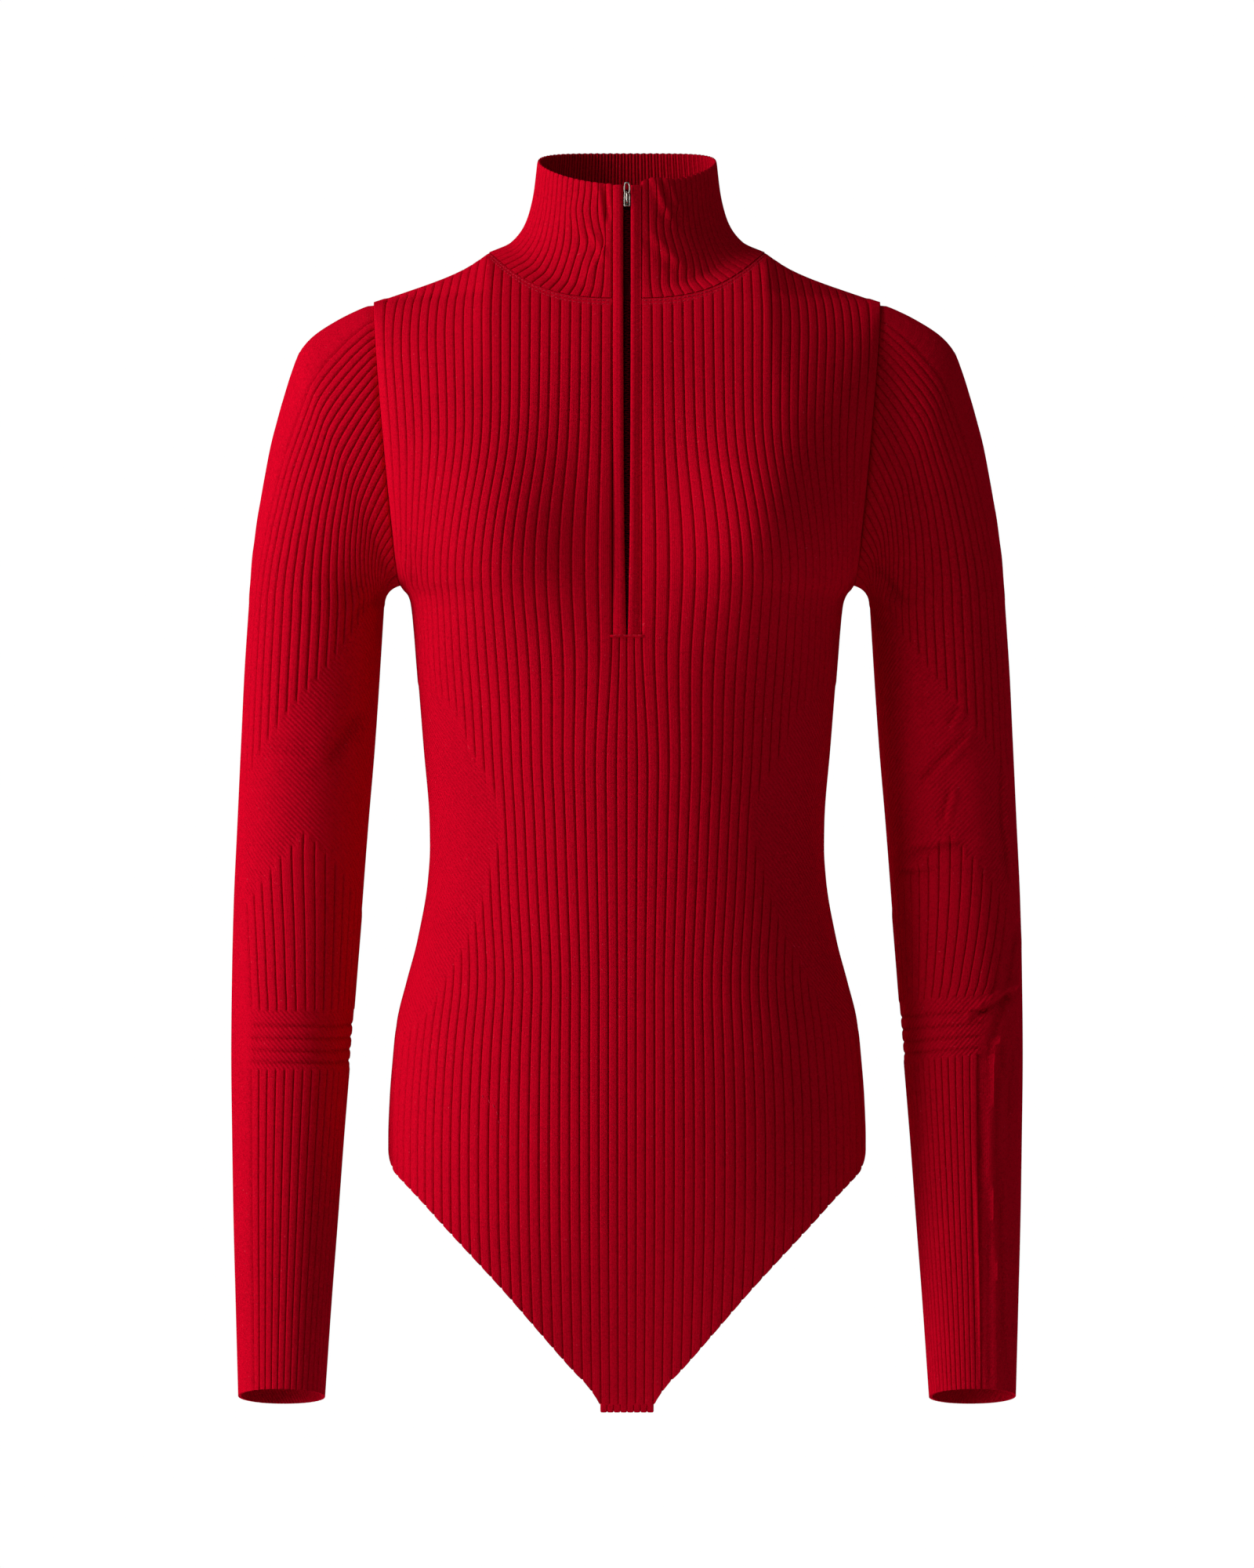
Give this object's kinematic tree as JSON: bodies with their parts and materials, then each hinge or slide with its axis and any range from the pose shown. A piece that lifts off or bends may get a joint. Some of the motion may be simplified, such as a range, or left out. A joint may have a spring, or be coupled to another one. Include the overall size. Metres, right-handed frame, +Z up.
{
  "type": "base layer bodysuit",
  "caption": "Rib-knit base layer bodysuit with long sleeves, a stand collar and a short front zip, filled out as worn, with high-cut leg openings.",
  "frame": {"origin": "between the wearer's shoulders, level with the points where the shoulder seams meet the collar and in the plane of those seams", "axes": "+Z up, -Y towards the front of the garment, +X towards the wearer's left"},
  "size_m": [0.4496, 0.2276, 0.723],
  "materials": {
    "rib_knit": "soft matte rib knit in deep red",
    "zip_tape": "woven zip tape in dark red",
    "zip_metal": "polished zinc with a steel tone"
  },
  "bodies": {
    "garment": {"front_bodice": "rib_knit", "front_brief": "rib_knit", "back_bodice": "rib_knit", "back_brief": "rib_knit", "sleeve_left": "rib_knit", "sleeve_right": "rib_knit", "collar": "rib_knit", "crotch_gusset": "rib_knit", "zip_welt_left": "rib_knit", "zip_welt_right": "rib_knit", "zip_tape": "zip_tape", "zip_slider": "zip_metal"},
    "pull": {"pull_ring": "zip_metal"}
  },
  "joints": [
    {"name": "pull_hinge", "type": "hinge", "parent": "garment", "child": "pull", "pos_m": [0, -0.05395, 0.02736], "axis": [1, 0, 0], "range_deg": [0, 150]}
  ]
}
